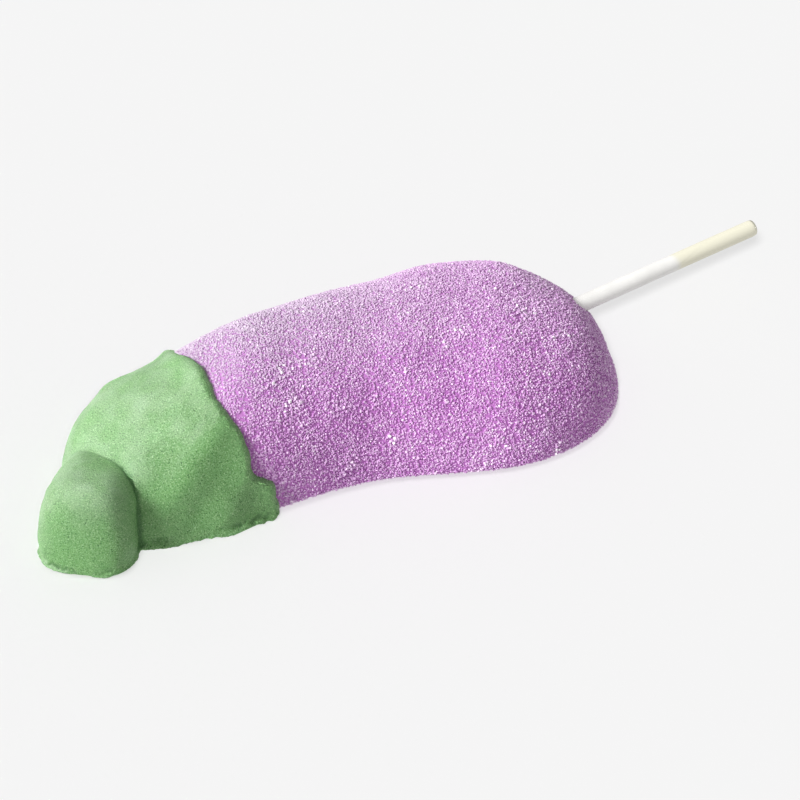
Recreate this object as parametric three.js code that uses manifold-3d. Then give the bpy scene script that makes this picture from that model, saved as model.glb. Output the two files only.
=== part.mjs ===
// A marshmallow pop: a sugared marshmallow in the shape of an aubergine lies on its flat side,
// its narrow end and stem dipped in a green coating, with a paper stick in its round end.
// Millimetres, +Z up. The stick runs along +X. The origin is the middle of the box's underside.
import * as THREE from "three";
import { mergeVertices } from "three/addons/utils/BufferGeometryUtils.js";
import Module from "manifold-3d";

const wasm = await Module();
wasm.setup();

// Stick
const STICK_DIAMETER = 4.0;
const STICK_LENGTH = 114;
const STICK_SHOWN = 47.7;
const STICK_HEIGHT = 13.5;
const STICK_CHAMFER = 0.25;
const STICK_SIDES = 28;

// Marshmallow body: each list holds [distance from the round end, value]
const BODY_LENGTH = 127;
const BODY_SPINE = [[0, -6.7], [32, 2.5], [64, 10.4], [96, 14.1], [124, 17.8]];
const BODY_HALF_WIDTH = [[0, 31.1], [32, 29.5], [64, 22.6], [96, 20.1], [124, 18.5]];
const BODY_HEIGHT = [[0, 24.3], [40, 28.7], [86, 32.2], [102, 27.2], [124, 20.3]];
const BODY_START = { reach: 39.7, power: 2.5 };
const BODY_END = { reach: 21.1, power: 2.65 };
const BODY_POWER = 2.4;
const BODY_STATIONS = 44;
const BODY_SIDES = 30;

// Marshmallow stem: a stub that leaves the body's narrow end and leans towards -Y
const STEM_ROOT = [-116.6, 19.7];
const STEM_LENGTH = 27.3;
const STEM_LEAN = 42;
const STEM_HALF_WIDTH = 9.2;
const STEM_HEIGHT = [[0, 11], [14, 17.4], [27.3, 19.6]];
const STEM_START = { reach: 5, power: 2 };
const STEM_END = { reach: 7.9, power: 3.0 };
const STEM_POWER = 3.2;
const STEM_CLEAR = 0.05;
const STEM_STATIONS = 20;
const STEM_SIDES = 22;

// Underside: its edge is tucked in, and it is lifted where the coating runs below it
const EDGE_TUCK = 0.8;
const EDGE_TURN = 0.03;
const BASE_LIFT = 1.4;
const LIFT_FROM = 92;
const LIFT_TO = 102;

// Slow unevenness of the hand-made surface: two crossing waves, their lengths in mm along the body
const UNEVEN_RISE = 0.35;
const SHORT_WAVE = 20;
const LONG_WAVE = 37;
const SHORT_SHARE = 0.6;

// Green coating
const COAT_THICKNESS = 1.5;
const COAT_STATIONS = 26;
// Its rim is rooted in the marshmallow and rounds up over the bead's width, with a slight swell
const RIM_ROOT = 0.7;
const RIM_BEAD = 1.8;
const RIM_STEPS = [0, 0.12, 0.4, 0.8, 1.3, 2.2];
const RIM_SWELL = { rise: 0.25, spread: 1.5 };
const RIM_FRONT = 93.2;
const RIM_BACK = 95.5;
const RIM_CROWN = 2.8;
const RIM_WAVE = { rise: 0.7, perTurn: 7 };
const RIM_DRIP = { turn: 175, width: 10.5, length: 4.3 };
const FOOT_FLARE = 0.7;
// Soft lobes and hollows: distance from the round end, turn over the top in degrees, rise, spread
const LOBES = [
  { along: 99, turn: 68, rise: -0.4, spread: 8 },
  { along: 118, turn: 75, rise: 0.9, spread: 6 },
  { along: 112, turn: 100, rise: -0.5, spread: 5 },
  { along: 105, turn: 128, rise: 0.6, spread: 6 },
  { along: 101, turn: 177, rise: 1.1, spread: 5 },
];

// Coarse sugar crystals fused to the marshmallow
const CRYSTALS = 130;
const CRYSTAL_SIZE = [0.8, 1.3];
const CRYSTAL_RISE = 0.15;
const CRYSTAL_CLEAR = 3.5;
const CRYSTAL_LOWEST = 14;
const CRYSTAL_SEED = 20;

// Clearance between pieces that touch
const FIT_GAP = 0.3;

const DEGREE = Math.PI / 180;
const GOLDEN_RATIO = (Math.sqrt(5) - 1) / 2;

const clamp01 = (value) => Math.min(1, Math.max(0, value));
const smooth = (value) => clamp01(value) ** 2 * (3 - 2 * clamp01(value));

// A smooth curve through [place, value] points
function through(points, place) {
  const last = points.length - 1;
  const tangent = (i) => {
    const [from, to] = [points[Math.max(i - 1, 0)], points[Math.min(i + 1, last)]];
    return (to[1] - from[1]) / (to[0] - from[0]);
  };
  let k = 0;
  while (k < last - 1 && place > points[k + 1][0]) k += 1;
  const span = points[k + 1][0] - points[k][0];
  const t = (place - points[k][0]) / span;
  return (
    (1 + 2 * t) * (1 - t) ** 2 * points[k][1] +
    t * (1 - t) ** 2 * span * tangent(k) +
    t * t * (3 - 2 * t) * points[k + 1][1] +
    t * t * (t - 1) * span * tangent(k + 1)
  );
}

// What is left of a size at the place `along`, where a loaf of this length rounds off at both ends
function taper(loaf, along, startPower, endPower) {
  const start = clamp01(1 - along / loaf.start.reach);
  const end = clamp01(1 - (loaf.length - along) / loaf.end.reach);
  return (1 - start ** startPower) ** (1 / startPower) * (1 - end ** endPower) ** (1 / endPower);
}

// A point of a loaf: flat underneath, domed on top, running along -X from its start at x = 0.
// `turn` goes over the top, from 0 at the +Y edge of the underside to PI at its -Y edge.
function formPoint(loaf, along, turn) {
  const step = 0.01;
  const lean = Math.atan((loaf.spine(along - step) - loaf.spine(along + step)) / (2 * step));
  const halfWidth = loaf.halfWidth(along) * taper(loaf, along, loaf.start.power, loaf.end.power);
  const base = loaf.base(along);
  const rise = (loaf.height(along) - base) * taper(loaf, along, loaf.power, loaf.power);
  const cosine = Math.cos(turn);
  const side = halfWidth * Math.sign(cosine) * Math.abs(cosine) ** (2 / loaf.power);
  const up = Math.abs(Math.sin(turn)) ** (2 / loaf.power);
  return new THREE.Vector3(
    -along - Math.sin(lean) * side,
    loaf.spine(along) + Math.cos(lean) * side,
    base + rise * up,
  );
}

// The same point moved out by `grow` square to the surface; points of the underside stay level
function grownPoint(loaf, along, turn, grow) {
  const step = 0.02;
  const place = Math.min(loaf.length - 2 * step, Math.max(2 * step, along));
  const angle = Math.min(Math.PI - step, Math.max(step, turn));
  const lengthwise = formPoint(loaf, place + step, angle).sub(formPoint(loaf, place - step, angle));
  const crosswise = formPoint(loaf, place, angle + step).sub(formPoint(loaf, place, angle - step));
  const normal = lengthwise.cross(crosswise).normalize();
  const point = formPoint(loaf, along, turn);
  const base = point.z;
  point.addScaledVector(normal, grow);
  if (turn === 0 || turn === Math.PI) point.z = base;
  return point;
}

// Angles from edge to edge over the top, with one close to each edge
function turns(sides) {
  const inner = Array.from({ length: sides - 1 }, (_, j) => (Math.PI * (j + 1)) / sides);
  return [0, EDGE_TURN, ...inner, Math.PI - EDGE_TURN, Math.PI];
}

// A closed mesh from rows of points between two end points, each row running edge to edge
function skin(first, rows, last) {
  const across = rows[0].length;
  const points = [first, ...rows.flat(), last];
  const faces = [];
  const at = (i, j) => 1 + i * across + (j % across);
  for (let j = 0; j < across; j += 1) {
    faces.push(0, at(0, j), at(0, j + 1));
    faces.push(points.length - 1, at(rows.length - 1, j + 1), at(rows.length - 1, j));
    for (let i = 0; i < rows.length - 1; i += 1) {
      faces.push(at(i, j), at(i + 1, j), at(i, j + 1));
      faces.push(at(i, j + 1), at(i + 1, j), at(i + 1, j + 1));
    }
  }
  const places = points.flatMap((point) => point.toArray());
  const geometry = new THREE.BufferGeometry();
  geometry.setAttribute("position", new THREE.Float32BufferAttribute(places, 3));
  geometry.setIndex(faces);
  return geometry;
}

// A whole loaf; `grow` gives how far the surface stands out at each place and turn
function loafSkin(loaf, grow) {
  const places = Array.from(
    { length: loaf.stations - 1 },
    (_, i) => ((1 - Math.cos((Math.PI * (i + 1)) / loaf.stations)) / 2) * loaf.length,
  );
  const rows = places.map((along) =>
    turns(loaf.sides).map((turn) => grownPoint(loaf, along, turn, grow(along, turn))),
  );
  const middle = Math.PI / 2;
  const first = formPoint(loaf, 0, 0).setX(grow(0, middle));
  const last = formPoint(loaf, loaf.length, 0).setX(-loaf.length - grow(loaf.length, middle));
  return skin(first, rows, last);
}

const body = {
  length: BODY_LENGTH,
  spine: (along) => through(BODY_SPINE, along),
  halfWidth: (along) => through(BODY_HALF_WIDTH, along),
  height: (along) => through(BODY_HEIGHT, along),
  start: BODY_START,
  end: BODY_END,
  power: BODY_POWER,
  stations: BODY_STATIONS,
  sides: BODY_SIDES,
};

const stem = {
  length: STEM_LENGTH,
  spine: () => 0,
  halfWidth: () => STEM_HALF_WIDTH,
  height: (along) => through(STEM_HEIGHT, along),
  start: STEM_START,
  end: STEM_END,
  power: STEM_POWER,
  stations: STEM_STATIONS,
  sides: STEM_SIDES,
};

const lifted = (along) => BASE_LIFT * smooth((along - LIFT_FROM) / (LIFT_TO - LIFT_FROM));
const isEdge = (turn) => turn === 0 || turn === Math.PI;

// Slow waves over the surface that fade out towards the underside
function uneven(along, turn) {
  const short = Math.sin((2 * Math.PI * along) / SHORT_WAVE + 2 * Math.sin(2 * turn));
  const long = Math.sin((2 * Math.PI * along) / LONG_WAVE - 4 * turn);
  return UNEVEN_RISE * (SHORT_SHARE * short + (1 - SHORT_SHARE) * long) * Math.sin(turn);
}

function lobes(along, turn) {
  return LOBES.reduce((sum, lobe) => {
    const apart = Math.hypot(along - lobe.along, (turn - lobe.turn * DEGREE) * body.halfWidth(along));
    return sum + lobe.rise * Math.exp(-((apart / lobe.spread) ** 2));
  }, 0);
}

// Where the coating begins: a slanted, wavy line round the body that steps back over the crown,
// with one drip that runs forward along the foot of the -Y side
function rim(turn) {
  const front = (1 - Math.cos(turn)) / 2;
  const wave = RIM_WAVE.rise * Math.sin(turn * RIM_WAVE.perTurn) * Math.sin(turn);
  const drip = RIM_DRIP.length * Math.exp(-(((turn / DEGREE - RIM_DRIP.turn) / RIM_DRIP.width) ** 4));
  return RIM_BACK + (RIM_FRONT - RIM_BACK) * front + RIM_CROWN * Math.sin(turn) ** 2 + wave - drip;
}

function coatGrowth(along, turn) {
  const inward = (along - rim(turn)) / RIM_BEAD;
  const bead = Math.sqrt(1 - (1 - clamp01(inward)) ** 2);
  const swell = RIM_SWELL.rise * Math.exp(-(((inward - 1) / RIM_SWELL.spread) ** 2));
  const foot = isEdge(turn) ? FOOT_FLARE : 0;
  const outer = COAT_THICKNESS + swell + lobes(along, turn) + foot;
  return -RIM_ROOT + (outer + RIM_ROOT) * bead;
}

// The outer skin of the coating on the body, closed inside the marshmallow behind its rim
function coatSkin(loaf) {
  const beadRows = RIM_STEPS.map((step) => (turn) => rim(turn) + step * RIM_BEAD);
  const rest = COAT_STATIONS - RIM_STEPS.length;
  const restRows = Array.from({ length: rest }, (_, i) => (turn) => {
    const from = rim(turn) + RIM_STEPS.at(-1) * RIM_BEAD;
    return from + (loaf.length - from) * Math.sin(((Math.PI / 2) * (i + 1)) / (rest + 1));
  });
  const rows = [...beadRows, ...restRows].map((place) =>
    turns(loaf.sides).map((turn) => grownPoint(loaf, place(turn), turn, coatGrowth(place(turn), turn))),
  );
  const behind = (RIM_FRONT + RIM_BACK) / 2;
  const first = new THREE.Vector3(-behind, loaf.spine(behind), loaf.height(behind) / 2);
  const last = formPoint(loaf, loaf.length, 0).setX(-loaf.length - COAT_THICKNESS);
  return skin(first, rows, last);
}

function solidOf(geometry) {
  const bare = geometry.clone();
  bare.deleteAttribute("normal");
  bare.deleteAttribute("uv");
  const merged = mergeVertices(bare, 1e-4);
  return new wasm.Manifold(
    new wasm.Mesh({
      numProp: 3,
      vertProperties: merged.attributes.position.array,
      triVerts: new Uint32Array(merged.index.array),
    }),
  );
}

function geometryOf(solid) {
  const mesh = solid.getMesh();
  const geometry = new THREE.BufferGeometry();
  geometry.setAttribute("position", new THREE.BufferAttribute(mesh.vertProperties, mesh.numProp));
  geometry.setIndex(new THREE.BufferAttribute(mesh.triVerts, 1));
  geometry.computeVertexNormals();
  return geometry;
}

// The body and its stem as one solid, grown all over by `gap` and lowered underneath by it
function marshmallowForm(gap) {
  const bodyBase = (along) => lifted(along) - gap;
  const stemBase = () => BASE_LIFT - gap;
  const grow = (along, turn) => gap + uneven(along, turn) - (isEdge(turn) ? EDGE_TUCK : 0);
  const bodySkin = loafSkin({ ...body, base: bodyBase }, grow);
  const stemSkin = loafSkin({ ...stem, base: stemBase }, () => gap);
  return solidOf(bodySkin).add(solidOf(placeStem(stemSkin)));
}

function placeStem(geometry) {
  return geometry.rotateZ(STEM_LEAN * DEGREE).translate(STEM_ROOT[0], STEM_ROOT[1], 0);
}

function stickProfile(radius, chamfer, from, to) {
  const outline = [
    [0, from],
    [radius - chamfer, from],
    [radius, from + chamfer],
    [radius, to - chamfer],
    [radius - chamfer, to],
    [0, to],
  ];
  return outline.map(([x, y]) => new THREE.Vector2(x, y));
}

// A round bar along +X at the stick's height, between two places on it
function bar(radius, chamfer, from, to) {
  const geometry = new THREE.LatheGeometry(stickProfile(radius, chamfer, from, to), STICK_SIDES);
  return geometry.rotateZ(-Math.PI / 2).translate(0, 0, STICK_HEIGHT);
}

// Crystals spread evenly over the uncoated surface, each a small turned block half sunk in it
function crystals() {
  const loaf = { ...body, base: () => 0 };
  const grow = (along, turn) => CRYSTAL_RISE + uneven(along, turn);
  THREE.MathUtils.seededRandom(CRYSTAL_SEED);
  const random = () => THREE.MathUtils.seededRandom();
  const grains = [];
  for (let i = 1; i <= CRYSTALS; i += 1) {
    const turn = (CRYSTAL_LOWEST + (180 - 2 * CRYSTAL_LOWEST) * ((i * GOLDEN_RATIO) % 1)) * DEGREE;
    const along = ((i - 0.5) / CRYSTALS) * (rim(turn) - CRYSTAL_CLEAR);
    const place = grownPoint(loaf, along, turn, grow(along, turn));
    const side = () => CRYSTAL_SIZE[0] + (CRYSTAL_SIZE[1] - CRYSTAL_SIZE[0]) * random();
    const grain = new THREE.BoxGeometry(side(), side(), side());
    grain.rotateX(random() * Math.PI).rotateY(random() * Math.PI).rotateZ(random() * Math.PI);
    grain.translate(place.x, place.y, place.z);
    if (Math.hypot(place.y, place.z - STICK_HEIGHT) > STICK_DIAMETER) grains.push(solidOf(grain));
  }
  return grains;
}

function makeMarshmallow() {
  const bore = bar(STICK_DIAMETER / 2 + FIT_GAP, 0, STICK_SHOWN - STICK_LENGTH - FIT_GAP, STICK_SHOWN);
  const sugared = crystals().reduce((whole, grain) => whole.add(grain), marshmallowForm(0));
  return geometryOf(sugared.subtract(solidOf(bore)));
}

function makeCoating() {
  const onBody = solidOf(coatSkin({ ...body, base: () => 0 }));
  const stemGrowth = (along, turn) => COAT_THICKNESS + (isEdge(turn) ? FOOT_FLARE : 0);
  const onStem = solidOf(placeStem(loafSkin({ ...stem, base: () => STEM_CLEAR }, stemGrowth)));
  return geometryOf(onBody.add(onStem).subtract(marshmallowForm(FIT_GAP)));
}

function makeStick() {
  return bar(STICK_DIAMETER / 2, STICK_CHAMFER, STICK_SHOWN - STICK_LENGTH, STICK_SHOWN);
}

function piece(name, geometry, color, roughness) {
  const material = new THREE.MeshStandardMaterial({ color, roughness, metalness: 0 });
  const mesh = new THREE.Mesh(geometry, material);
  mesh.name = name;
  return mesh;
}

const pieces = new THREE.Group();
pieces.add(
  piece("marshmallow", makeMarshmallow(), 0xc498c6, 0.9),
  piece("green_coating", makeCoating(), 0x88b07b, 0.7),
  piece("paper_stick", makeStick(), 0xf4f3ea, 0.85),
);

// The middle of the box's underside becomes the origin
const box = new THREE.Box3().setFromObject(pieces);
const middle = box.getCenter(new THREE.Vector3());
pieces.position.set(-middle.x, -middle.y, -box.min.z);

const pop = new THREE.Group();
pop.add(pieces);

export default pop;
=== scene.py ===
"""The looks of a marshmallow pop: an aubergine of sugared marshmallow on a paper stick, dipped in green.

Sizes are millimetres until a mesh is made; a mesh is in metres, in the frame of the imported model.
"""

import math

import bpy
import numpy as np
from mathutils import Matrix, Vector


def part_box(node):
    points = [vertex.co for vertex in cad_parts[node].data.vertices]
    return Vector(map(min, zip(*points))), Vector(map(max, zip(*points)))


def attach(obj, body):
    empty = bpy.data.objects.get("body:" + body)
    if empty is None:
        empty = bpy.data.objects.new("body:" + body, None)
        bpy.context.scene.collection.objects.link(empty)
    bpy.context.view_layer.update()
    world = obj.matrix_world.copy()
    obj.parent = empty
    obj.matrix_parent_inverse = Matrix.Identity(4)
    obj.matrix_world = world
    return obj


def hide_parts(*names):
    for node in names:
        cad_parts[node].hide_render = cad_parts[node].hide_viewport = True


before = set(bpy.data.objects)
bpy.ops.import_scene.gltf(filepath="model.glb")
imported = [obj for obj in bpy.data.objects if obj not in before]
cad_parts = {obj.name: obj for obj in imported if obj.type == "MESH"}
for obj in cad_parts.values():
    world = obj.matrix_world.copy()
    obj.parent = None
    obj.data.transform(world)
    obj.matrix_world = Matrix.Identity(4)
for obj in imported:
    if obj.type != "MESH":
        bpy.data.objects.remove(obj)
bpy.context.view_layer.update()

MM = 0.001
DEGREE = math.pi / 180
SEED = 7

# Stick
STICK_RADIUS = 2.0
STICK_LENGTH = 114
STICK_SHOWN = 47.7
STICK_HEIGHT = 13.5
CREAM_FROM = 23.5

# Body and stem, each list as [distance from the start, value]
BODY_LENGTH = 127
BODY_SPINE = [[0, -6.7], [32, 2.5], [64, 10.4], [96, 14.1], [124, 17.8]]
BODY_HALF_WIDTH = [[0, 31.1], [32, 29.5], [64, 22.6], [96, 20.1], [124, 18.5]]
BODY_HEIGHT = [[0, 24.3], [40, 28.7], [86, 32.2], [102, 27.2], [124, 20.3]]
STEM_ROOT = (-116.6, 19.7)
STEM_LEAN = 42
STEM_LENGTH = 27.3
STEM_HALF_WIDTH = [[0, 9.2], [27.3, 9.2]]
STEM_HEIGHT = [[0, 11], [14, 17.4], [27.3, 19.6]]

# Underside
EDGE_TUCK = 0.8
EDGE_HEIGHT = 1.5
BASE_LIFT = 1.4
LIFT_FROM = 92
LIFT_TO = 102

# Slow unevenness of the marshmallow
UNEVEN_RISE = 0.35
SHORT_WAVE = 20
LONG_WAVE = 37
SHORT_SHARE = 0.6
SKIN_LUMPS = [(7.0, 0.16), (2.6, 0.10)]
SUGAR_DEPTH = 0.3
COVERED_DEPTH = 0.6
SUGAR_CLUMPS = [(4.5, 0.6), (2.0, 0.4)]
# A pale, greyer sheen painted on the sugar where the light falls: full on the back, fading over the top towards
# the front, and growing from the round end towards the narrow end
SUGAR_SHEEN_TURNS = (65, 155)
SUGAR_SHEEN_SHARE = 0.75
SKIN_SHEEN = (180, 136, 184)
CRYSTAL_SHEEN = (202, 192, 204)

# Green coating
COAT_THICKNESS = 1.5
RIM_ROOT = 0.7
RIM_BEAD = 1.8
RIM_SWELL = (0.25, 1.5)
RIM_FRONT = 93.2
RIM_BACK = 95.5
RIM_CROWN = 2.8
RIM_WAVE = (0.7, 7)
RIM_DRIP = (175, 10.5, 4.3)
RIM_RAGGED = [(4.0, 0.35), (1.4, 0.22)]
FOOT_FLARE = 0.7
FOOT_RAGGED = [(3.2, 0.9), (1.2, 0.5)]
COAT_VOXEL = 0.3
COAT_LUMPS = [(9.0, 0.50), (4.0, 0.20), (1.7, 0.06), (0.8, 0.035)]
FOOT_CRUMBLE = [(1.5, 0.22), (0.7, 0.16)]
# Painted shade in the coating's creases: smoothing passes, and the crease depth at which the shade is full
HOLLOW_PASSES = 30
HOLLOW_DEPTH = 0.25
# Share of the pale sheen painted on the coating where it faces the light
COAT_SHEEN_SHARE = 0.34
# The side that faces the light, where a pale sheen is painted on the coating: up, and towards the narrow end
LIT_SIDE = (-0.574, 0.400, 0.75)
# x, y, z, spread and share of the pale highlights painted on the coating
COAT_HIGHLIGHTS = [
    (-131, 6, 17.5, 7.0, 0.60),
    (-111, 15, 25.7, 6.0, 0.42),
    (-119, 5, 18.4, 3.5, 0.45),
]
# Distance from the round end, turn over the top in degrees, rise, spread
LOBES = [
    (99, 68, -0.4, 8),
    (118, 75, 0.9, 6),
    (112, 100, -0.5, 5),
    (105, 128, 0.6, 6),
    (101, 177, 1.1, 5),
]
# Finer relief of the coating in the same form
RELIEF = [
    (98.5, 54, -0.45, 3.0),
    (110.5, 92, 0.55, 3.5),
    (112.2, 109, -0.5, 3.0),
    (116.0, 124, 0.5, 3.2),
    (112.8, 47, 0.6, 3.5),
    (102.6, 132, 0.5, 4.5),
    (97.0, 150, -0.35, 3.0),
    (108, 150, 0.35, 5),
    (95.0, 170, -0.5, 2.6),
    (106, 170, -0.3, 4),
    (104, 100, 0.4, 4),
]

# Camera: the photograph is 800 pixels square
PICTURE = 800
CAMERA_ELEVATION = 40
CAMERA_TURN = 34.865
CAMERA_DISTANCE = 900
CAMERA_LOOK = (-55.26, -2.909, 12.0)
CAMERA_FOCUS = 4024
SENSOR = 36


def clamp01(value):
    return np.clip(value, 0, 1)


def smooth(value):
    t = clamp01(value)
    return t * t * (3 - 2 * t)


def through(points, place):
    """A smooth curve through [place, value] points."""
    xs, ys = np.array(points, float).T
    slopes = np.empty_like(ys)
    slopes[1:-1] = (ys[2:] - ys[:-2]) / (xs[2:] - xs[:-2])
    slopes[0] = (ys[1] - ys[0]) / (xs[1] - xs[0])
    slopes[-1] = (ys[-1] - ys[-2]) / (xs[-1] - xs[-2])
    k = np.clip(np.searchsorted(xs, place) - 1, 0, len(xs) - 2)
    span = xs[k + 1] - xs[k]
    t = (place - xs[k]) / span
    start = (1 + 2 * t) * (1 - t) ** 2 * ys[k] + t * (1 - t) ** 2 * span * slopes[k]
    return start + t * t * (3 - 2 * t) * ys[k + 1] + t * t * (t - 1) * span * slopes[k + 1]


class Loaf:
    """A form that is flat underneath and domed on top and runs along -X from its start.

    `turn` goes over the top, from 0 at the +Y edge of the underside to pi at its -Y edge.
    """

    def __init__(self, length, spine, half_width, height, start, end, power):
        self.length = length
        self.spine_points = spine
        self.half_width_points = half_width
        self.height_points = height
        self.start = start
        self.end = end
        self.power = power

    def taper(self, along, start_power, end_power):
        start = clamp01(1 - along / self.start[0])
        end = clamp01(1 - (self.length - along) / self.end[0])
        first = (1 - start**start_power) ** (1 / start_power)
        return first * (1 - end**end_power) ** (1 / end_power)

    def lean(self, along):
        step = 0.01
        before, after = (through(self.spine_points, along + s) for s in (-step, step))
        return np.arctan((before - after) / (2 * step))

    def half_width(self, along):
        width = through(self.half_width_points, along)
        return width * self.taper(along, self.start[1], self.end[1])

    def rise(self, along, base):
        height = through(self.height_points, along)
        return (height - base) * self.taper(along, self.power, self.power)

    def point(self, along, turn, base):
        lean = self.lean(along)
        cosine = np.cos(turn)
        side = self.half_width(along) * np.sign(cosine) * np.abs(cosine) ** (2 / self.power)
        up = np.abs(np.sin(turn)) ** (2 / self.power)
        x = -along - np.sin(lean) * side
        y = through(self.spine_points, along) + np.cos(lean) * side
        return np.stack([x, y, base + self.rise(along, base) * up], -1)

    def grown(self, along, turn, grow, base):
        """The point moved out by `grow` square to the surface; the underside's edge stays level."""
        step = 0.004
        place = np.clip(along, 5 * step, self.length - 5 * step)
        angle = np.clip(turn, step, math.pi - step)
        lengthwise = self.point(place + step, angle, base) - self.point(place - step, angle, base)
        crosswise = self.point(place, angle + step, base) - self.point(place, angle - step, base)
        normal = np.cross(lengthwise, crosswise)
        normal /= np.linalg.norm(normal, axis=-1, keepdims=True)
        point = self.point(along, turn, base)
        moved = point + normal * np.asarray(grow)[..., None]
        edge = (turn <= 0) | (turn >= math.pi)
        moved[..., 2] = np.where(edge, point[..., 2], moved[..., 2])
        return moved

    def place_of(self, points, base):
        """The (along, turn) of points on or near the surface."""
        along = np.clip(-points[:, 0], 0, self.length)
        for _ in range(6):
            lean = self.lean(along)
            side = (points[:, 1] - through(self.spine_points, along)) / np.cos(lean)
            along = np.clip(-points[:, 0] - np.sin(lean) * side, 0.05, self.length - 0.05)
        across = clamp01(np.abs(side) / np.maximum(self.half_width(along), 0.1))
        up = clamp01((points[:, 2] - base) / np.maximum(self.rise(along, base), 0.1))
        turn = np.arctan2(up ** (self.power / 2), np.sign(side) * across ** (self.power / 2))
        return along, turn


body = Loaf(BODY_LENGTH, BODY_SPINE, BODY_HALF_WIDTH, BODY_HEIGHT, (39.7, 2.5), (21.1, 2.65), 2.4)
stem = Loaf(STEM_LENGTH, [[0, 0], [STEM_LENGTH, 0]], STEM_HALF_WIDTH, STEM_HEIGHT, (5, 2), (7.9, 3.0), 3.2)


def lattice_noise(points, wave, seed):
    """Soft noise from -1 to 1 at points in mm; `wave` is the size of its lumps."""
    place = points / wave + seed * 17.3
    cell = np.floor(place).astype(np.int64)
    part = place - cell
    ease = part**3 * (part * (6 * part - 15) + 10)
    total = np.zeros(points.shape[:-1])
    for corner in range(8):
        offset = np.array([corner & 1, (corner >> 1) & 1, (corner >> 2) & 1])
        key = cell + offset
        hashed = (key[..., 0] * 73856093) ^ (key[..., 1] * 19349663) ^ (key[..., 2] * 83492791)
        hashed = (hashed ^ (hashed >> 13)) * 1274126177 & 0x7FFFFFFF
        value = ((hashed ^ (hashed >> 16)) & 0xFFFF) / 0x7FFF - 1
        weight = np.prod(np.where(offset == 1, ease, 1 - ease), axis=-1)
        total += value * weight
    return total


def layered_noise(points, layers, seed):
    return sum(rise * lattice_noise(points, wave, seed + i) for i, (wave, rise) in enumerate(layers))


def uneven(along, turn):
    short = np.sin(2 * math.pi * along / SHORT_WAVE + 2 * np.sin(2 * turn))
    long = np.sin(2 * math.pi * along / LONG_WAVE - 4 * turn)
    return UNEVEN_RISE * (SHORT_SHARE * short + (1 - SHORT_SHARE) * long) * np.sin(turn)


def lobes(along, turn, forms):
    total = 0
    for place, angle, rise, spread in forms:
        apart = np.hypot(along - place, (turn - angle * DEGREE) * through(BODY_HALF_WIDTH, along))
        total = total + rise * np.exp(-((apart / spread) ** 2))
    return total


def lifted(along):
    return BASE_LIFT * smooth((along - LIFT_FROM) / (LIFT_TO - LIFT_FROM))


def rim(turn):
    """Where the coating begins, as a distance from the body's round end."""
    front = (1 - np.cos(turn)) / 2
    wave = RIM_WAVE[0] * np.sin(turn * RIM_WAVE[1]) * np.sin(turn)
    drip = RIM_DRIP[2] * np.exp(-(((turn / DEGREE - RIM_DRIP[0]) / RIM_DRIP[1]) ** 4))
    return RIM_BACK + (RIM_FRONT - RIM_BACK) * front + RIM_CROWN * np.sin(turn) ** 2 + wave - drip


def edge_turns(count):
    """Turns from edge to edge over the top, close together near both edges."""
    part = np.linspace(0, 1, count)
    return math.pi * (part - 0.85 * np.sin(2 * math.pi * part) / (2 * math.pi))


def end_places(count, length):
    """Places from end to end, close together near both ends, without the ends themselves."""
    return (1 - np.cos(np.linspace(0, math.pi, count + 2)[1:-1])) / 2 * length


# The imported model's frame: the stick's line is y = 0 and the round end is x = 0 in these sizes
stick_low, stick_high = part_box("paper_stick")
SHIFT = np.array([
    stick_high.x / MM - STICK_SHOWN,
    (stick_low.y + stick_high.y) / 2 / MM,
    (stick_low.z + stick_high.z) / 2 / MM - STICK_HEIGHT,
])


def make_object(name, points, faces):
    """A mesh object from points in mm."""
    mesh = bpy.data.meshes.new(name)
    mesh.from_pydata((np.asarray(points) + SHIFT) * MM, [], faces)
    mesh.validate()
    made = bpy.data.objects.new(name, mesh)
    bpy.context.scene.collection.objects.link(made)
    return made


def skin_faces(rows, across):
    """Faces of a closed skin: a point, rows that each close on themselves, and a last point."""
    faces = []
    last = rows * across + 1
    for j in range(across):
        k = (j + 1) % across
        faces.append((0, 1 + j, 1 + k))
        end = 1 + (rows - 1) * across
        faces.append((last, end + k, end + j))
        for i in range(rows - 1):
            here, there = 1 + i * across, 1 + (i + 1) * across
            faces.append((here + j, there + j, there + k, here + k))
    return faces


def skin_object(name, first, rows, last):
    points = np.concatenate([[first], rows.reshape(-1, 3), [last]])
    return make_object(name, points, skin_faces(rows.shape[0], rows.shape[1]))


def loaf_object(name, loaf, stations, sides, grow, base):
    along = end_places(stations, loaf.length)[:, None]
    turn = edge_turns(sides)[None, :]
    along, turn = np.broadcast_arrays(along, turn)
    level = base(along)
    rows = loaf.grown(along, turn, grow(along, turn), level)
    ends = []
    for place, sign in ((0.0, 1), (loaf.length, -1)):
        at = np.array([place])
        point = loaf.point(at, np.array([0.0]), base(at))[0]
        point[0] = -place + sign * grow(at, np.array([math.pi / 2]))[0]
        ends.append(point)
    return skin_object(name, ends[0], rows, ends[1])


def evaluated_mesh(piece):
    graph = bpy.context.evaluated_depsgraph_get()
    return bpy.data.meshes.new_from_object(piece.evaluated_get(graph))


def apply_modifiers(piece):
    mesh = evaluated_mesh(piece)
    piece.modifiers.clear()
    old = piece.data
    piece.data = mesh
    bpy.data.meshes.remove(old)


def drop(*pieces):
    for piece in pieces:
        bpy.data.objects.remove(piece)


def combine(piece, other, operation):
    """Joins `other` to the piece or cuts it away, and removes `other`."""
    boolean = piece.modifiers.new("combine", "BOOLEAN")
    boolean.operation = operation
    boolean.solver = "MANIFOLD"
    boolean.object = other
    apply_modifiers(piece)
    drop(other)


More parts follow.
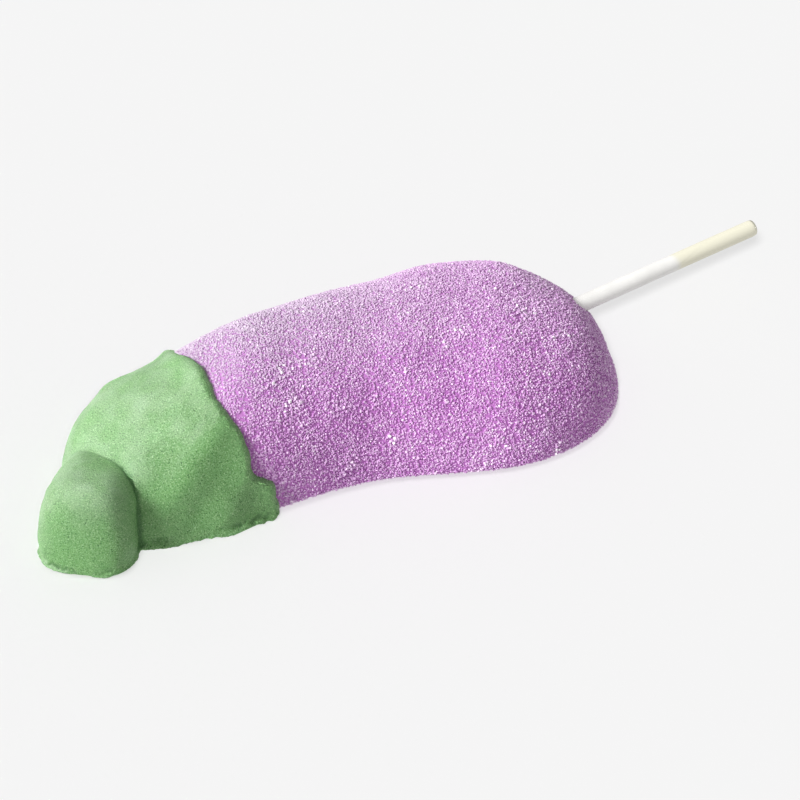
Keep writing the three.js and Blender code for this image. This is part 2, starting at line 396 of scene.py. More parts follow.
def place_stem(piece):
    turned = Matrix.Translation(Vector((STEM_ROOT[0], STEM_ROOT[1], 0)) * MM)
    turned = turned @ Matrix.Rotation(STEM_LEAN * DEGREE, 4, "Z")
    shift = Matrix.Translation(Vector(SHIFT) * MM)
    piece.data.transform(shift @ turned @ shift.inverted())


def mesh_points(mesh):
    """The mesh's points in mm, in the form's own frame."""
    points = np.empty(len(mesh.vertices) * 3)
    mesh.vertices.foreach_get("co", points)
    return points.reshape(-1, 3) / MM - SHIFT


def set_points(mesh, points):
    mesh.vertices.foreach_set("co", ((points + SHIFT) * MM).ravel())
    mesh.update()


def mesh_normals(mesh):
    normals = np.empty(len(mesh.vertices) * 3)
    mesh.vertex_normals.foreach_get("vector", normals)
    return normals.reshape(-1, 3)


def neighbour_mean(mesh):
    """A function that averages a value over each point's neighbours."""
    edges = np.empty(len(mesh.edges) * 2, int)
    mesh.edges.foreach_get("vertices", edges)
    a, b = edges.reshape(-1, 2).T
    count = np.bincount(edges, minlength=len(mesh.vertices)).astype(float)

    def mean(values):
        total = np.zeros_like(values)
        np.add.at(total, a, values[b])
        np.add.at(total, b, values[a])
        return total / (count[:, None] if values.ndim == 2 else count)

    return mean


def put_attribute(mesh, name, values):
    attribute = mesh.attributes.new(name, "FLOAT", "POINT")
    attribute.data.foreach_set("value", np.asarray(values, np.float32))


def shade_smooth(piece):
    piece.data.shade_smooth()


# Marshmallow


def marshmallow_growth(along, turn):
    base = lifted(along)
    height = body.rise(along, base) * np.abs(np.sin(turn)) ** (2 / body.power)
    tuck = EDGE_TUCK * clamp01(1 - height / EDGE_HEIGHT) ** 2
    points = body.point(along, turn, base)
    lumps = layered_noise(points, SKIN_LUMPS, SEED) * np.sin(turn)
    covered = COVERED_DEPTH * smooth((along - rim(turn) - 2) / 3) * np.sin(turn)
    return uneven(along, turn) - tuck + lumps - SUGAR_DEPTH - covered


def make_marshmallow():
    """The marshmallow with its stem, which runs on inside the coating, and the stick's bore."""
    piece = loaf_object("sugared_marshmallow", body, 240, 220, marshmallow_growth, lifted)
    core = loaf_object("stem_core", stem, 40, 48, lambda a, t: 0 * a, lambda a: BASE_LIFT + 0 * a)
    place_stem(core)
    combine(piece, core, "UNION")
    bore = bar_object("bore", STICK_RADIUS + 0.12, STICK_SHOWN - STICK_LENGTH - 0.3, STICK_SHOWN, 64)
    combine(piece, bore, "DIFFERENCE")
    points = mesh_points(piece.data)
    along, turn = body.place_of(points, 0)
    normals = mesh_normals(piece.data)
    bare = smooth((rim(turn) + 1.0 - along) / 0.5)
    side = smooth((normals[:, 2] + 0.75) / 0.3) * smooth((points[:, 2] - 0.15) / 0.3)
    from_stick = np.hypot(points[:, 1], points[:, 2] - STICK_HEIGHT)
    at_stick = smooth((from_stick - STICK_RADIUS - 0.25) / 0.2)
    sugared = bare * side * at_stick
    clumps = clamp01((layered_noise(points, SUGAR_CLUMPS, SEED + 41) - 0.25) * 3)
    put_attribute(piece.data, "sugared", sugared * (1 - 0.35 * clamp01(-layered_noise(points, SUGAR_CLUMPS, SEED + 51) * 2)))
    put_attribute(piece.data, "clumped", sugared * clumps)
    # painted sheen: the sugar's colour is paled where the light falls
    back = smooth((SUGAR_SHEEN_TURNS[1] - turn / DEGREE) / (SUGAR_SHEEN_TURNS[1] - SUGAR_SHEEN_TURNS[0]))
    put_attribute(piece.data, "sugar_sheen", SUGAR_SHEEN_SHARE * back * (0.35 + 0.65 * smooth((along - 20) / 60)))
    shade_smooth(piece)
    return piece


def bar_object(name, radius, start, end, sides):
    """A plain round bar along X at the stick's height."""
    angles = np.linspace(0, 2 * math.pi, sides, endpoint=False)
    ring = np.stack([0 * angles, radius * np.cos(angles), radius * np.sin(angles)], -1)
    centre = np.array([0, 0, STICK_HEIGHT])
    rows = np.stack([ring + centre + [end, 0, 0], ring + centre + [start, 0, 0]])
    return skin_object(name, centre + [end, 0, 0], rows, centre + [start, 0, 0])


# Green coating


def foot(points, height):
    """The coating's foot runs out a little over the surface, in a ragged line."""
    flat = points * [1, 1, 0]
    frill = 1 + layered_noise(flat, FOOT_RAGGED, SEED + 11)
    return FOOT_FLARE * clamp01(1 - height / EDGE_HEIGHT) ** 1.5 * np.maximum(frill, 0.1)


def coat_growth(along, turn, start):
    height = body.rise(along, 0) * np.abs(np.sin(turn)) ** (2 / body.power)
    points = body.point(along, turn, 0 * along)
    inward = (along - start) / RIM_BEAD
    bead = np.sqrt(1 - (1 - clamp01(inward)) ** 2)
    swell = RIM_SWELL[0] * np.exp(-(((inward - 1) / RIM_SWELL[1]) ** 2))
    outer = COAT_THICKNESS + swell + lobes(along, turn, LOBES + RELIEF) + foot(points, height)
    return -RIM_ROOT + (outer + RIM_ROOT) * bead


def make_cap():
    """The coating over the body, closed inside the marshmallow behind its rim."""
    turn = edge_turns(240)[None, :]
    line = body.point(rim(turn), turn, 0 * turn)
    start = rim(turn) + layered_noise(line, RIM_RAGGED, SEED + 5)
    bead = start + np.linspace(0, 2.2, 16)[:, None] * RIM_BEAD
    reach = np.sin(np.linspace(0, math.pi / 2, 131)[1:-1])[:, None]
    rest = bead[-1:] + (body.length - bead[-1:]) * reach
    along = np.concatenate([bead, rest])
    turn = np.broadcast_to(turn, along.shape)
    rows = body.grown(along, turn, coat_growth(along, turn, start), 0 * along)
    behind = np.array([(RIM_FRONT + RIM_BACK) / 2])
    middle = through(BODY_SPINE, behind)[0]
    first = np.array([-behind[0], middle, through(BODY_HEIGHT, behind)[0] / 2])
    end = through(BODY_SPINE, np.array([float(body.length)]))[0]
    last = np.array([-body.length - COAT_THICKNESS, end, 0])
    return skin_object("cap", first, rows, last)


def make_stem_coat():
    def grow(along, turn):
        height = stem.rise(along, 0) * np.abs(np.sin(turn)) ** (2 / stem.power)
        points = stem.point(along, turn, 0 * along)
        return COAT_THICKNESS + foot(points, height)

    piece = loaf_object("stem_coat", stem, 110, 150, grow, lambda a: 0.05 + 0 * a)
    place_stem(piece)
    return piece


def crease_shade(mesh):
    """Painted shade for the coating: how deep each point lies in a crease, from 0 to 1, fading out on the side
    that faces the light.
    """
    mean = neighbour_mean(mesh)
    points = mesh_points(mesh)
    wide = points.copy()
    for _ in range(HOLLOW_PASSES):
        wide = mean(wide)
    deep = np.sum((wide - points) * mesh_normals(mesh), axis=1)
    return smooth((deep - 0.02) / HOLLOW_DEPTH) * smooth((1.0 - facing(mesh)) / 0.5)


def facing(mesh):
    """How far each point faces the light, towards the side where a pale sheen is painted."""
    return mesh_normals(mesh) @ np.array(LIT_SIDE)


def coat_sheen(mesh):
    """The share of a pale painted sheen: a film on the side that faces the light, and a few stronger spots of
    painted highlight.
    """
    points = mesh_points(mesh)
    share = COAT_SHEEN_SHARE * smooth((facing(mesh) - 0.3) / 0.6)
    for x, y, z, spread, spot_share in COAT_HIGHLIGHTS:
        away = np.linalg.norm(points - [x, y, z], axis=1)
        share = np.maximum(share, spot_share * np.exp(-((away / spread) ** 2)))
    return share


def make_coating():
    piece = make_cap()
    combine(piece, make_stem_coat(), "UNION")
    remesh = piece.modifiers.new("even faces", "REMESH")
    remesh.mode = "VOXEL"
    remesh.voxel_size = COAT_VOXEL * MM
    apply_modifiers(piece)
    mesh = piece.data
    mean = neighbour_mean(mesh)
    points = mesh_points(mesh)
    for _ in range(2):
        points += 0.5 * (mean(points) - points)
    set_points(mesh, points)
    # the crease between cap and stem is where the surface is hollow; it is filled softly
    normals = mesh_normals(mesh)
    wide = points.copy()
    for _ in range(6):
        wide += 0.5 * (mean(wide) - wide)
    hollow = np.sum((wide - points) * normals, axis=1)
    crease = smooth((hollow - 0.03) / 0.2)
    for _ in range(2):
        crease = 0.5 * crease + 0.5 * mean(crease)
    points += (wide - points) * (0.7 * crease)[:, None]
    high = smooth((points[:, 2] - 0.4) / 2.0)
    points += normals * (layered_noise(points, COAT_LUMPS, SEED + 21) * high)[:, None]
    low = smooth((points[:, 2] - 0.1) / 0.4) * smooth((3.0 - points[:, 2]) / 2.4)
    points += normals * (layered_noise(points, FOOT_CRUMBLE, SEED + 31) * low)[:, None]
    points[:, 2] = np.maximum(points[:, 2], 0)
    set_points(mesh, points)
    cutter = loaf_object("cutter", body, 110, 80, lambda a, t: marshmallow_growth(a, t) + 0.05,
                         lambda a: lifted(a) - 0.05)
    core = loaf_object("core_cutter", stem, 30, 36, lambda a, t: 0.05 + 0 * a,
                       lambda a: BASE_LIFT - 0.05 + 0 * a)
    place_stem(core)
    combine(cutter, core, "UNION")
    combine(piece, cutter, "DIFFERENCE")
    # the crease depth is kept for the painted shade in the coating's colour
    put_attribute(piece.data, "hollow", crease_shade(piece.data))
    # the pale share is painted sheen and painted highlight
    put_attribute(piece.data, "coat_sheen", coat_sheen(piece.data))
    piece.name = "green_coat"
    shade_smooth(piece)
    return piece


# Sugar


def crystal_object(name, points, faces):
    mesh = bpy.data.meshes.new(name)
    mesh.from_pydata(points, [], faces)
    mesh.update()
    crystal = bpy.data.objects.new(name, mesh)
    bpy.context.scene.collection.objects.link(crystal)
    return crystal


def splinter_crystal():
    """A small crystal with eight uneven faces, about 1 unit across."""
    points = [(0.55, 0.05, 0), (-0.5, -0.08, 0.1), (0.06, 0.5, -0.05), (-0.1, -0.52, 0), (0, 0.1, 0.58), (0.08, 0, -0.5)]
    faces = [(0, 2, 4), (2, 1, 4), (1, 3, 4), (3, 0, 4), (2, 0, 5), (1, 2, 5), (3, 1, 5), (0, 3, 5)]
    return crystal_object("splinter crystal", points, faces)


def block_crystal():
    """A leaning block, 1 unit across."""
    points = [
        (-0.5, -0.46, -0.5), (0.5, -0.5, -0.42), (0.42, 0.5, -0.5), (-0.5, 0.4, -0.46),
        (-0.4, -0.5, 0.46), (0.5, -0.4, 0.5), (0.5, 0.44, 0.36), (-0.46, 0.5, 0.5),
    ]
    faces = [(0, 3, 2, 1), (4, 5, 6, 7), (0, 1, 5, 4), (1, 2, 6, 5), (2, 3, 7, 6), (3, 0, 4, 7)]
    return crystal_object("block crystal", points, faces)


def sugar_tree():
    """Scatters crystals over the sugared part of a surface; sizes are in metres."""
    tree = bpy.data.node_groups.new("scatter sugar crystals", "GeometryNodeTree")
    add = tree.interface.new_socket
    add("Surface", in_out="INPUT", socket_type="NodeSocketGeometry")
    add("Where", in_out="INPUT", socket_type="NodeSocketString")
    add("Crystal", in_out="INPUT", socket_type="NodeSocketObject")
    add("Crystal width", in_out="INPUT", socket_type="NodeSocketFloat")
    add("Width spread", in_out="INPUT", socket_type="NodeSocketFloat")
    add("Crystals per square metre", in_out="INPUT", socket_type="NodeSocketFloat")
    add("Least spacing", in_out="INPUT", socket_type="NodeSocketFloat")
    add("Stand out", in_out="INPUT", socket_type="NodeSocketFloat")
    add("Lowest tint", in_out="INPUT", socket_type="NodeSocketFloat")
    add("Highest tint", in_out="INPUT", socket_type="NodeSocketFloat")
    add("Patchiness", in_out="INPUT", socket_type="NodeSocketFloat")
    add("Patch width", in_out="INPUT", socket_type="NodeSocketFloat")
    add("Seed", in_out="INPUT", socket_type="NodeSocketInt")
    add("Finish", in_out="INPUT", socket_type="NodeSocketMaterial")
    add("Crystals", in_out="OUTPUT", socket_type="NodeSocketGeometry")
    new = tree.nodes.new
    inputs, output = new("NodeGroupInput"), new("NodeGroupOutput")
    sugared = new("GeometryNodeInputNamedAttribute")
    sugared.data_type = "FLOAT"
    spread = new("GeometryNodeDistributePointsOnFaces")
    spread.distribute_method = "POISSON"
    normal_rise = new("ShaderNodeVectorMath")
    normal_rise.operation = "SCALE"
    lift = new("GeometryNodeSetPosition")
    turn = new("FunctionNodeRandomValue")
    turn.data_type = "FLOAT_VECTOR"
    turn.inputs["Max"].default_value = (2 * math.pi,) * 3
    as_rotation = new("FunctionNodeEulerToRotation")
    low, high = new("ShaderNodeMath"), new("ShaderNodeMath")
    low.operation, high.operation = "SUBTRACT", "ADD"
    size = new("FunctionNodeRandomValue")
    size.data_type = "FLOAT_VECTOR"
    place = new("GeometryNodeInstanceOnPoints")
    crystal = new("GeometryNodeObjectInfo")
    tint = new("FunctionNodeRandomValue")
    tint.data_type = "FLOAT"
    keep_tint = new("GeometryNodeStoreNamedAttribute")
    keep_tint.data_type = "FLOAT"
    keep_tint.domain = "INSTANCE"
    keep_tint.inputs["Name"].default_value = "tint"
    realize, finish = new("GeometryNodeRealizeInstances"), new("GeometryNodeSetMaterial")
    tint_seed = new("ShaderNodeMath")
    tint_seed.operation = "ADD"
    tint_seed.inputs[1].default_value = 91
    patches = new("ShaderNodeTexNoise")
    patches.inputs["Detail"].default_value = 2
    where = new("GeometryNodeInputPosition")
    patch_scale, centred, patch_tint, whole_tint = (new("ShaderNodeMath") for _ in range(4))
    patch_scale.operation = "DIVIDE"
    patch_scale.inputs[0].default_value = 1
    centred.operation = "SUBTRACT"
    centred.inputs[1].default_value = 0.5
    patch_tint.operation = "MULTIPLY"
    whole_tint.operation = "ADD"
    wire = tree.links.new
    wire(inputs.outputs["Surface"], spread.inputs["Mesh"])
    wire(inputs.outputs["Where"], sugared.inputs["Name"])
    wire(inputs.outputs["Least spacing"], spread.inputs["Distance Min"])
    wire(inputs.outputs["Crystals per square metre"], spread.inputs["Density Max"])
    wire(sugared.outputs["Attribute"], spread.inputs["Density Factor"])
    wire(inputs.outputs["Seed"], spread.inputs["Seed"])
    wire(spread.outputs["Normal"], normal_rise.inputs[0])
    wire(inputs.outputs["Stand out"], normal_rise.inputs["Scale"])
    wire(spread.outputs["Points"], lift.inputs["Geometry"])
    wire(normal_rise.outputs["Vector"], lift.inputs["Offset"])
    wire(inputs.outputs["Seed"], turn.inputs["Seed"])
    wire(turn.outputs["Value"], as_rotation.inputs["Euler"])
    wire(inputs.outputs["Crystal width"], low.inputs[0])
    wire(inputs.outputs["Width spread"], low.inputs[1])
    wire(inputs.outputs["Crystal width"], high.inputs[0])
    wire(inputs.outputs["Width spread"], high.inputs[1])
    wire(low.outputs["Value"], size.inputs["Min"])
    wire(high.outputs["Value"], size.inputs["Max"])
    wire(inputs.outputs["Seed"], size.inputs["Seed"])
    wire(inputs.outputs["Crystal"], crystal.inputs["Object"])
    wire(lift.outputs["Geometry"], place.inputs["Points"])
    wire(crystal.outputs["Geometry"], place.inputs["Instance"])
    wire(as_rotation.outputs["Rotation"], place.inputs["Rotation"])
    wire(size.outputs["Value"], place.inputs["Scale"])
    wire(inputs.outputs["Seed"], tint_seed.inputs[0])
    wire(tint_seed.outputs["Value"], tint.inputs["Seed"])
    wire(place.outputs["Instances"], keep_tint.inputs["Geometry"])
    wire(inputs.outputs["Lowest tint"], tint.inputs[2])
    wire(inputs.outputs["Highest tint"], tint.inputs[3])
    wire(inputs.outputs["Patch width"], patch_scale.inputs[1])
    wire(where.outputs["Position"], patches.inputs["Vector"])
    wire(patch_scale.outputs["Value"], patches.inputs["Scale"])
    wire(patches.outputs["Fac"], centred.inputs[0])
    wire(centred.outputs["Value"], patch_tint.inputs[0])
    wire(inputs.outputs["Patchiness"], patch_tint.inputs[1])
    wire(tint.outputs[1], whole_tint.inputs[0])
    wire(patch_tint.outputs["Value"], whole_tint.inputs[1])
    wire(whole_tint.outputs["Value"], keep_tint.inputs["Value"])
    wire(keep_tint.outputs["Geometry"], realize.inputs["Geometry"])
    wire(realize.outputs["Geometry"], finish.inputs["Geometry"])
    wire(inputs.outputs["Finish"], finish.inputs["Material"])
    wire(finish.outputs["Geometry"], output.inputs["Crystals"])
    return tree


def set_inputs(modifier, values):
    """Sets a Geometry Nodes modifier's inputs by their names in the tree."""
    for item in modifier.node_group.interface.items_tree:
        if item.in_out == "INPUT" and item.name in values:
            modifier[item.identifier] = values[item.name]


def scatter(surface, tree, name, values):
    modifier = surface.modifiers.new(name, "NODES")
    modifier.node_group = tree
    set_inputs(modifier, values)
    mesh = evaluated_mesh(surface)
    surface.modifiers.remove(modifier)
    mesh.name = name
    piece = bpy.data.objects.new(name, mesh)
    bpy.context.scene.collection.objects.link(piece)
    return piece


# name, where, crystal, width, spread, crystals per square mm, least spacing, stand out, lowest and highest tint
SUGARS = [
    ("fine_sugar_under", "sugared", "splinter", 0.50, 0.14, 2.9, 0.22, 0.06, 0.0, 0.8),
    ("fine_sugar_over", "sugared", "splinter", 0.40, 0.14, 2.9, 0.22, 0.12, 0.1, 0.9),
    ("sanding_sugar", "sugared", "block", 0.38, 0.12, 1.85, 0.30, 0.12, 0.1, 0.92),
    ("coarse_sugar", "clumped", "block", 0.52, 0.16, 0.8, 0.45, 0.16, 0.5, 1.0),
]


def make_sugar(surface, finish):
    tree = sugar_tree()
    crystals = {"splinter": splinter_crystal(), "block": block_crystal()}
    pieces = []
    for i, (name, where, kind, width, spread, density, spacing, stand_out, low, high) in enumerate(SUGARS):
        pieces.append(scatter(surface, tree, name, {
            "Where": where,
            "Crystal": crystals[kind],
            "Crystal width": width * MM,
            "Width spread": spread * MM,
            "Crystals per square metre": density / MM**2,
            "Least spacing": spacing * MM,
            "Stand out": stand_out * MM,
            "Lowest tint": low,
            "Highest tint": high,
            "Patchiness": 0.5,
            "Patch width": 8 * MM,
            "Seed": SEED + 3 * i,
            "Finish": finish,
        }))
    drop(*crystals.values())
    return pieces


# Paper stick


def make_stick():
    """Rolled paper: a slight step runs round it as a long screw line, and the ends show the roll."""
    sides, stations = 96, 160
    start, end = STICK_SHOWN - STICK_LENGTH, STICK_SHOWN
    along = np.linspace(end, start, stations)[:, None]
    angle = np.linspace(0, 2 * math.pi, sides, endpoint=False)[None, :]
    along, angle = np.broadcast_arrays(along, angle)
    roll = np.mod(angle / (2 * math.pi) + along / 46, 1)
    seam = -0.03 * np.exp(-((np.minimum(roll, 1 - roll) / 0.012) ** 2)) + 0.02 * (roll - 0.5)
    from_end = np.minimum(end - along, along - start)
    round_off = 0.12 * clamp01(1 - from_end / 0.15) ** 2
    radius = STICK_RADIUS - 0.02 + seam - round_off
    rows = np.stack([along, radius * np.cos(angle), STICK_HEIGHT + radius * np.sin(angle)], -1)
    return finish_stick(rows, start, end)


def finish_stick(rows, start, end):
    """Adds the rings of both end faces, which sink and rise a little where the paper is rolled."""
    angle = np.arctan2(rows[0, :, 2] - STICK_HEIGHT, rows[0, :, 1])[None, :]
    share = np.linspace(0.94, 0.06, 22)[:, None]
    turns = np.mod(share * 5.5 - angle / (2 * math.pi), 1)
    depth = 0.10 * np.exp(-((np.minimum(turns, 1 - turns) / 0.16) ** 2)) + 0.05 * (1 - share)
    radius = share * (STICK_RADIUS - 0.12)
    side, up = radius * np.cos(angle), STICK_HEIGHT + radius * np.sin(angle)
    tip = np.stack([end - depth, side, up], -1)[::-1]
    tail = np.stack([start + depth, side, up], -1)
    everything = np.concatenate([tip, rows, tail])
    centre = np.array([0, 0, STICK_HEIGHT])
    piece = skin_object("rolled_paper_stick", centre + [end - 0.1, 0, 0], everything,
                        centre + [start + 0.1, 0, 0])
    points = mesh_points(piece.data)
    edge = CREAM_FROM + layered_noise(points, [(3.0, 0.8)], SEED + 61)
    put_attribute(piece.data, "cream", smooth((points[:, 0] - edge) / 1.6))
    shade_smooth(piece)
    return piece


# Materials


def linear(red, green, blue):
    """A colour given as the 0 to 255 values of a picture."""
    values = []
    for value in (red, green, blue):
        part = value / 255
        values.append(part / 12.92 if part <= 0.04045 else ((part + 0.055) / 1.055) ** 2.4)
    return (*values, 1)


def new_material(name):
    material = bpy.data.materials.new(name)
    material.use_nodes = True
    tree = material.node_tree
    shader = tree.nodes["Principled BSDF"]
    return material, tree, shader


def fine_grain_group():
    """Height and mottling of a grainy surface, on Object coordinates."""
    group = bpy.data.node_groups.new("fine grain", "ShaderNodeTree")
    add = group.interface.new_socket
    add("Grain width mm", in_out="INPUT", socket_type="NodeSocketFloat")
    add("Blotch width mm", in_out="INPUT", socket_type="NodeSocketFloat")
    add("Grain", in_out="OUTPUT", socket_type="NodeSocketFloat")
    add("Blotches", in_out="OUTPUT", socket_type="NodeSocketFloat")
    nodes, wire = group.nodes, group.links.new
    inputs, output = nodes.new("NodeGroupInput"), nodes.new("NodeGroupOutput")
    place = nodes.new("ShaderNodeTexCoord")
    for source, target, detail in (("Grain width mm", "Grain", 3), ("Blotch width mm", "Blotches", 2)):
        scale = nodes.new("ShaderNodeMath")
        scale.operation = "DIVIDE"
        scale.inputs[0].default_value = 1 / MM
        pattern = nodes.new("ShaderNodeTexNoise")
        pattern.inputs["Detail"].default_value = detail
        wire(inputs.outputs[source], scale.inputs[1])
        wire(place.outputs["Object"], pattern.inputs["Vector"])
        wire(scale.outputs["Value"], pattern.inputs["Scale"])
        wire(pattern.outputs["Fac"], output.inputs[target])
    return group


def ramp_node(tree, stops, source):
    ramp = tree.nodes.new("ShaderNodeValToRGB")
    elements = ramp.color_ramp.elements
    while len(elements) < len(stops):
        elements.new(0.5)
    for element, (position, colour) in zip(elements, stops):
        element.position = position
        element.color = colour
    tree.links.new(source, ramp.inputs["Fac"])
    return ramp.outputs["Color"]


def grain_node(tree, group, grain, blotch):
    node = tree.nodes.new("ShaderNodeGroup")
    node.node_tree = group
    node.inputs["Grain width mm"].default_value = grain
    node.inputs["Blotch width mm"].default_value = blotch
    return node


def bump_node(tree, height, strength, distance):
    bump = tree.nodes.new("ShaderNodeBump")
    bump.inputs["Strength"].default_value = strength
    bump.inputs["Distance"].default_value = distance * MM
    tree.links.new(height, bump.inputs["Height"])
    return bump.outputs["Normal"]


def mix_node(tree, blend, first, second, share):
    """Mixes two colours, each given as an output or a value."""
    mix = tree.nodes.new("ShaderNodeMix")
    mix.data_type = "RGBA"
    mix.blend_type = blend
    for i, source in ((0, share), (6, first), (7, second)):
        if isinstance(source, bpy.types.NodeSocket):
            tree.links.new(source, mix.inputs[i])
        else:
            mix.inputs[i].default_value = source
    return mix.outputs[2]


def attribute_node(tree, name):
    node = tree.nodes.new("ShaderNodeAttribute")
    node.attribute_name = name
    return node.outputs["Fac"]


def sugar_sheen_group():
    """A colour that turns into a pale painted sheen where the light falls on the sugar."""
    group = bpy.data.node_groups.new("painted sugar sheen", "ShaderNodeTree")
    add = group.interface.new_socket
    add("Plain colour", in_out="INPUT", socket_type="NodeSocketColor")
    add("Sheen colour", in_out="INPUT", socket_type="NodeSocketColor")
    add("Colour", in_out="OUTPUT", socket_type="NodeSocketColor")
    inputs, output = group.nodes.new("NodeGroupInput"), group.nodes.new("NodeGroupOutput")
    with_sheen = mix_node(group, "MIX", inputs.outputs["Plain colour"], inputs.outputs["Sheen colour"],
                     attribute_node(group, "sugar_sheen"))
    group.links.new(with_sheen, output.inputs["Colour"])
    return group


# lays the colour of the painted sheen over a colour
def sheened(tree, group, colour, sheen):
    node = tree.nodes.new("ShaderNodeGroup")
    node.node_tree = group
    node.inputs["Sheen colour"].default_value = linear(*sheen)
    tree.links.new(colour, node.inputs["Plain colour"])
    return node.outputs["Colour"]


def marshmallow_finish(grain, sheen):
    material, tree, shader = new_material("purple marshmallow")
    pattern = grain_node(tree, grain, 0.5, 9)
    colour = ramp_node(tree, [(0.3, linear(172, 102, 177)), (0.7, linear(194, 124, 198))],
                       pattern.outputs["Blotches"])
    # the skin's colour takes the painted sheen as well
    tree.links.new(sheened(tree, sheen, colour, SKIN_SHEEN), shader.inputs["Base Color"])
    tree.links.new(bump_node(tree, pattern.outputs["Grain"], 0.6, 0.3), shader.inputs["Normal"])
    shader.inputs["Roughness"].default_value = 0.75
    return material


def sugar_finish(sheen):
    material, tree, shader = new_material("sugar crystals")
    colour = ramp_node(tree, [
        (0.0, linear(194, 126, 198)),
        (0.4, linear(214, 164, 217)),
        (0.75, linear(225, 186, 228)),
        (0.92, linear(240, 216, 241)),
        (1.0, linear(252, 246, 252)),
    ], attribute_node(tree, "tint"))
    # the crystals' colour takes the painted sheen as well
    tree.links.new(sheened(tree, sheen, colour, CRYSTAL_SHEEN), shader.inputs["Base Color"])
    shader.inputs["Roughness"].default_value = 0.3
    shader.inputs["Specular IOR Level"].default_value = 0.35
    return material


def coating_finish(grain):
    material, tree, shader = new_material("green coating")
    pattern = grain_node(tree, grain, 0.3, 7)
    speckle = ramp_node(tree, [
        (0.30, linear(28, 72, 22)),
        (0.40, linear(92, 145, 77)),
        (0.55, linear(110, 158, 94)),
        (0.75, linear(170, 200, 155)),
    ], pattern.outputs["Grain"])
    # painted sheen and highlights: the colour turns pale where the light falls, in uneven patches
    sheen_patches = ramp_node(tree, [(0.35, (0.35, 0.35, 0.35, 1)), (0.65, (1, 1, 1, 1))], pattern.outputs["Blotches"])
    share = mix_node(tree, "MULTIPLY", attribute_node(tree, "coat_sheen"), sheen_patches, 1)
    with_coat_sheen = mix_node(tree, "MIX", speckle, linear(186, 203, 180), share)
    # painted shade: the colour is darkened in the creases and hollows
    depth = ramp_node(tree, [(0.0, (1, 1, 1, 1)), (1.0, (0.34, 0.48, 0.34, 1))], attribute_node(tree, "hollow"))
    tree.links.new(mix_node(tree, "MULTIPLY", with_coat_sheen, depth, 1), shader.inputs["Base Color"])
    tree.links.new(bump_node(tree, pattern.outputs["Grain"], 1.0, 0.32), shader.inputs["Normal"])
    shader.inputs["Roughness"].default_value = 0.5
    shader.inputs["Specular IOR Level"].default_value = 0.5
    return material


def paper_finish(grain):
    material, tree, shader = new_material("white paper")
    pattern = grain_node(tree, grain, 0.3, 6)
    colour = ramp_node(tree, [(0.35, linear(212, 211, 208)), (0.65, linear(220, 219, 216))],
                       pattern.outputs["Blotches"])
    creamy = mix_node(tree, "MIX", colour, linear(212, 209, 190), attribute_node(tree, "cream"))
    tree.links.new(creamy, shader.inputs["Base Color"])
    tree.links.new(bump_node(tree, pattern.outputs["Grain"], 0.25, 0.04), shader.inputs["Normal"])
    shader.inputs["Roughness"].default_value = 0.6
    return material


def dress(piece, finish, slot_name, *nodes):
    piece.data.materials.clear()
    piece.data.materials.append(finish)
    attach(piece, "root")
    if nodes:
        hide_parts(*nodes)


# Stage, light and camera


def view_axes():
    turn, rise = CAMERA_TURN * DEGREE, CAMERA_ELEVATION * DEGREE
    right = Vector((math.cos(turn), -math.sin(turn), 0))
    ahead = Vector((math.sin(turn), math.cos(turn), 0))
    forward = ahead * math.cos(rise) + Vector((0, 0, -math.sin(rise)))
    return right, ahead, forward


def make_camera():
    right, ahead, forward = view_axes()
    look = Vector(CAMERA_LOOK) + Vector(SHIFT)
    camera = bpy.data.cameras.new("camera")
    camera.sensor_width = SENSOR
    camera.lens = CAMERA_FOCUS / PICTURE * SENSOR
    camera.clip_end = 20
    eye = bpy.data.objects.new("camera", camera)
    eye.location = (look - forward * CAMERA_DISTANCE) * MM
    eye.rotation_euler = forward.to_track_quat("-Z", "Y").to_euler()
    bpy.context.scene.collection.objects.link(eye)
    bpy.context.scene.camera = eye


def make_floor():
    mesh = bpy.data.meshes.new("floor")
    half = 2.5
    mesh.from_pydata([(-half, -half, 0), (half, -half, 0), (half, half, 0), (-half, half, 0)], [], [(0, 1, 2, 3)])
    floor = bpy.data.objects.new("floor", mesh)
    bpy.context.scene.collection.objects.link(floor)
    material, tree, shader = new_material("pale floor")
    shader.inputs["Base Color"].default_value = (0.5, 0.5, 0.5, 1)
    shader.inputs["Emission Color"].default_value = (1, 1, 1, 1)
    shader.inputs["Emission Strength"].default_value = 0.382
    shader.inputs["Roughness"].default_value = 0.9
    shader.inputs["Specular IOR Level"].default_value = 0.1
    mesh.materials.append(material)


def make_sun(name, direction, energy, angle):
    sun = bpy.data.lights.new(name, "SUN")
    sun.energy = energy
    sun.angle = angle * DEGREE
    lamp = bpy.data.objects.new(name, sun)
    lamp.rotation_euler = (-direction).to_track_quat("-Z", "Y").to_euler()
    bpy.context.scene.collection.objects.link(lamp)
    return lamp


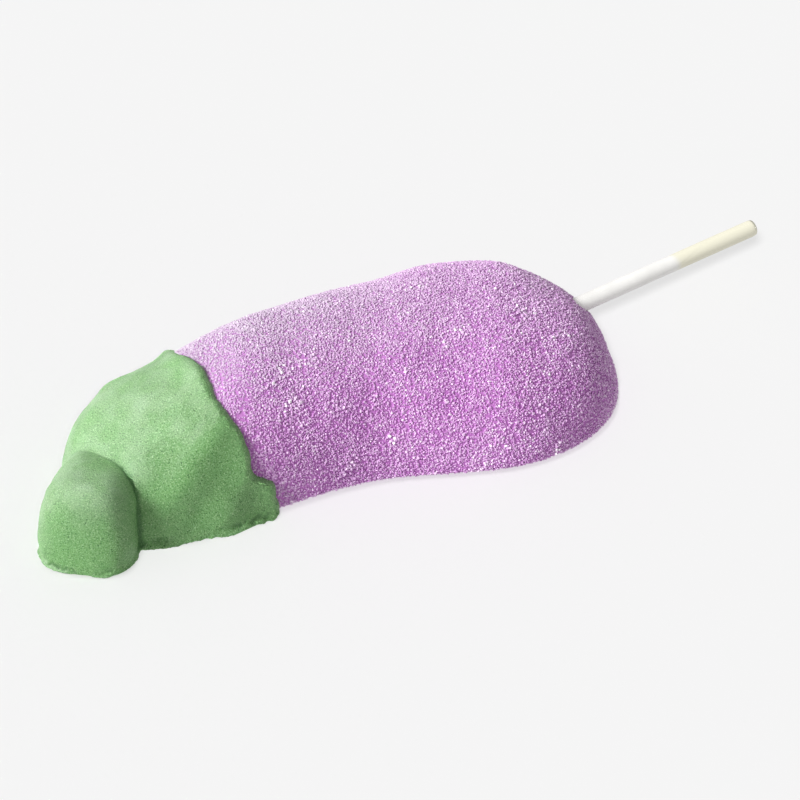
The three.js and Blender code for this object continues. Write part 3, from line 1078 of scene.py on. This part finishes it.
def make_light(pieces):
    """A soft key from the left lights the sweet alone, so that the floor stays even as in the photo."""
    right, ahead, _ = view_axes()
    key = make_sun("soft key", -right * 0.85 - ahead * 0.48 + Vector((0, 0, 0.75)), 4.4, 18)
    lit = bpy.data.collections.new("lit by the key")
    for piece in pieces:
        lit.objects.link(piece)
    rear = make_sun("rear light", -right * 0.5 + ahead * 0.5 + Vector((0, 0, 1.0)), 0.5, 35)
    for lamp in (key, rear):
        lamp.light_linking.receiver_collection = lit
    coat_light = make_sun("coat light", -right * 0.6 + ahead * 0.6 + Vector((0, 0, 0.8)), 0.5, 30)
    coat = bpy.data.collections.new("lit by the coat light")
    coat.objects.link(pieces[-2])
    coat_light.light_linking.receiver_collection = coat
    # two lights for the floor alone: one draws the stick's shadow, the other the thin dark line under the sweet
    front = make_sun("floor light", -right * 0.12 - ahead * 0.70 + Vector((0, 0, 0.67)), 1.6, 8)
    top = make_sun("floor top light", -right * 0.12 + ahead * 0.08 + Vector((0, 0, 1.0)), 1.0, 10)
    under = bpy.data.collections.new("lit by the floor lights")
    under.objects.link(bpy.data.objects["floor"])
    for lamp in (front, top):
        lamp.light_linking.receiver_collection = under
    sweet = bpy.data.collections.new("in the way of the top light")
    for piece in pieces[:-1]:
        sweet.objects.link(piece)
    top.light_linking.blocker_collection = sweet
    end = make_sun("stick light", right * 0.6 - ahead * 0.2 + Vector((0, 0, 0.4)), 0.8, 30)
    paper = bpy.data.collections.new("lit by the stick light")
    paper.objects.link(pieces[-1])
    end.light_linking.receiver_collection = paper
    world = bpy.data.worlds.new("studio")
    world.use_nodes = True
    background = world.node_tree.nodes["Background"]
    background.inputs["Color"].default_value = (1, 1, 1, 1)
    background.inputs["Strength"].default_value = 0.4
    bpy.context.scene.world = world
    bpy.context.scene.view_settings.view_transform = "Standard"


make_camera()
make_floor()

grain = fine_grain_group()
sheen = sugar_sheen_group()
marshmallow = make_marshmallow()
sugar_pieces = make_sugar(marshmallow, sugar_finish(sheen))
coating = make_coating()
stick = make_stick()

dress(marshmallow, marshmallow_finish(grain, sheen), "sugared_marshmallow", "marshmallow")
for piece in sugar_pieces:
    dress(piece, bpy.data.materials["sugar crystals"], "sugared_marshmallow")
dress(coating, coating_finish(grain), "green_coating", "green_coating")
dress(stick, paper_finish(grain), "white_paper", "paper_stick")

make_light((marshmallow, *sugar_pieces, coating, stick))

for piece in (marshmallow, *sugar_pieces, coating, stick):
    piece.data.calc_loop_triangles()
    print("PIECE", piece.name, len(piece.data.loop_triangles))
